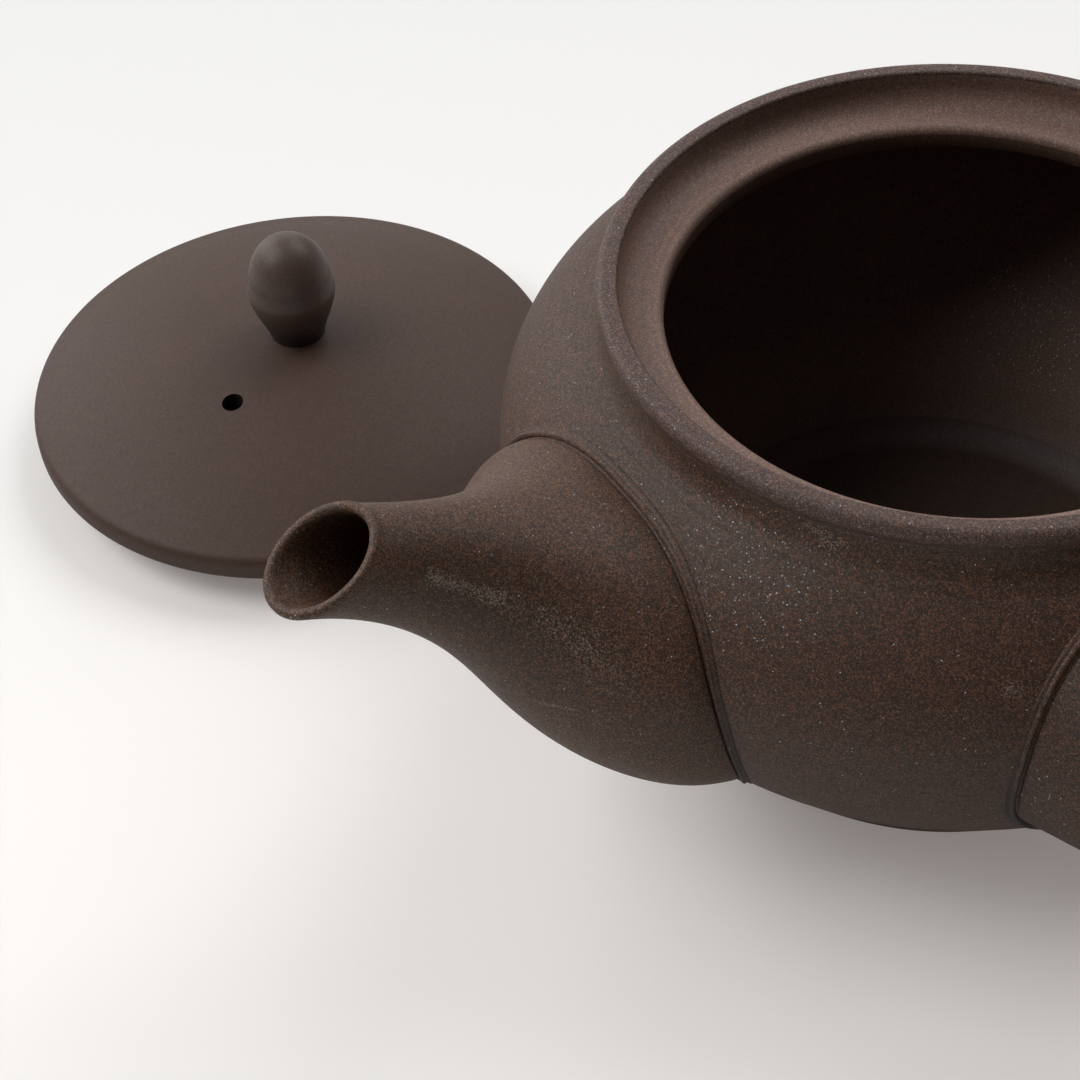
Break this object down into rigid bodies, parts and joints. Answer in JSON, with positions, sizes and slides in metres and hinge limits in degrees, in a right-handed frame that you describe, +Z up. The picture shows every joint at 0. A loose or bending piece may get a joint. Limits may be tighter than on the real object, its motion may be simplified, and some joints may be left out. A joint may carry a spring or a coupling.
{
  "type": "side-handled teapot",
  "caption": "Round unglazed clay teapot with a short upturned spout, a hollow side handle at a right angle to it, a built-in strainer and a flat domed lid with a knob, set down beside the pot.",
  "frame": {"origin": "centre of the pot's flat base, on the surface it stands on", "axes": "+Z up along the pot's axis, +X from the pot's axis along the spout, the handle 85 degrees round from +X towards +Y"},
  "size_m": [0.1338, 0.2395, 0.063],
  "materials": {
    "body_clay": "unglazed dark brown clay, matt, fine sandy grain with pale flecks",
    "spout_clay": "unglazed dark brown clay, matt, smoothed by hand",
    "handle_clay": "unglazed dark brown clay, matt, smoothed by hand",
    "seam_clay": "unglazed dark brown clay, pressed bead",
    "lid_clay": "unglazed dark brown clay, matt, fine even grain"
  },
  "bodies": {
    "pot": {"pot_body": "body_clay", "strainer": "body_clay", "spout": "spout_clay", "spout_seam_bead": "seam_clay", "handle": "handle_clay", "handle_seam_bead": "seam_clay"},
    "lid": {"lid_plate": "lid_clay", "lid_flange": "lid_clay", "lid_knob": "lid_clay"}
  },
  "joints": [
    {"name": "lid_lift", "type": "slide", "parent": "pot", "child": "lid", "axis": [0, 0, 1], "range_m": [0, 0.08]}
  ]
}
